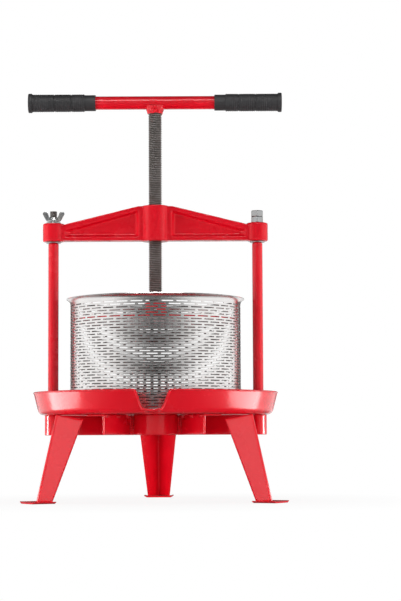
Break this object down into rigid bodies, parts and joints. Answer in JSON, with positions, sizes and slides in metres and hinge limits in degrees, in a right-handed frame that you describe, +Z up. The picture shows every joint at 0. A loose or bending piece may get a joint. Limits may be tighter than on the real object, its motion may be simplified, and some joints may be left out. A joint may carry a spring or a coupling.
{
  "type": "fruit press",
  "caption": "Floor or table standing screw fruit press: a T-handle drives a round plate down into a slotted steel basket over a spouted juice tray on folded legs.",
  "frame": {"origin": "on the floor, under the axis of the screw", "axes": "+Z up along the screw, X along the handle and from column to column, -Y towards the spout"},
  "size_m": [0.4256, 0.462, 0.6732],
  "materials": {
    "red_paint": "glossy red powder coat",
    "red_casting": "glossy red powder coat over cast iron",
    "stainless_sheet": "bright stainless sheet",
    "screw_steel": "dark oiled steel",
    "zinc_plate": "zinc plated steel",
    "black_grip": "matt black ribbed rubber"
  },
  "bodies": {
    "frame": {"hub_ring": "red_paint", "crossbar_left": "red_paint", "crossbar_right": "red_paint", "column_socket_left": "red_paint", "column_socket_right": "red_paint", "tray_arm_left": "red_paint", "tray_arm_right": "red_paint", "leg_strut_rear": "red_paint", "leg_strut_left": "red_paint", "leg_strut_right": "red_paint", "leg_rear": "red_paint", "leg_left": "red_paint", "leg_right": "red_paint", "foot_pad_rear": "red_paint", "foot_pad_left": "red_paint", "foot_pad_right": "red_paint", "juice_tray": "red_paint", "column_left": "red_paint", "column_right": "red_paint", "floor_washer_left": "zinc_plate", "floor_washer_right": "zinc_plate", "beam_washer_left": "zinc_plate", "beam_washer_right": "zinc_plate", "crossbeam": "red_casting", "pivot_nut_lower": "zinc_plate", "pivot_nut_upper": "zinc_plate"},
    "basket": {"basket": "stainless_sheet"},
    "plate": {"press_plate": "red_paint", "plate_hub": "red_paint", "retaining_pin": "zinc_plate", "thrust_washer": "screw_steel"},
    "screw": {"press_screw": "screw_steel", "handle_tube": "red_paint", "handle_weld": "red_paint", "grip_left": "black_grip", "grip_right": "black_grip"},
    "wing_washer": {"wing_washer": "zinc_plate"},
    "wing_nut": {"wing_nut": "zinc_plate"}
  },
  "joints": [
    {"name": "press_travel", "type": "slide", "parent": "frame", "child": "plate", "axis": [0, 0, 1], "range_m": [-0.1487, 0.1007]},
    {"name": "screw_spin", "type": "hinge", "parent": "plate", "child": "screw", "pos_m": [0, 0, 0.4], "axis": [0, 0, 1], "range_deg": [-17820, 12060]},
    {"name": "basket_lift", "type": "slide", "parent": "frame", "child": "basket", "axis": [0, 0, 1], "range_m": [0, 0.094]},
    {"name": "wing_travel", "type": "slide", "parent": "frame", "child": "wing_washer", "axis": [0, 0, 1], "range_m": [0, 0.0163]},
    {"name": "wing_spin", "type": "hinge", "parent": "wing_washer", "child": "wing_nut", "pos_m": [-0.168, 0, 0.46], "axis": [0, 0, 1], "range_deg": [0, 3330]}
  ],
  "couplings": [
    {"joint": "press_travel", "follows": "screw_spin", "m_per_rad": 0.00047746},
    {"joint": "wing_travel", "follows": "wing_spin", "m_per_rad": 0.00027852}
  ]
}
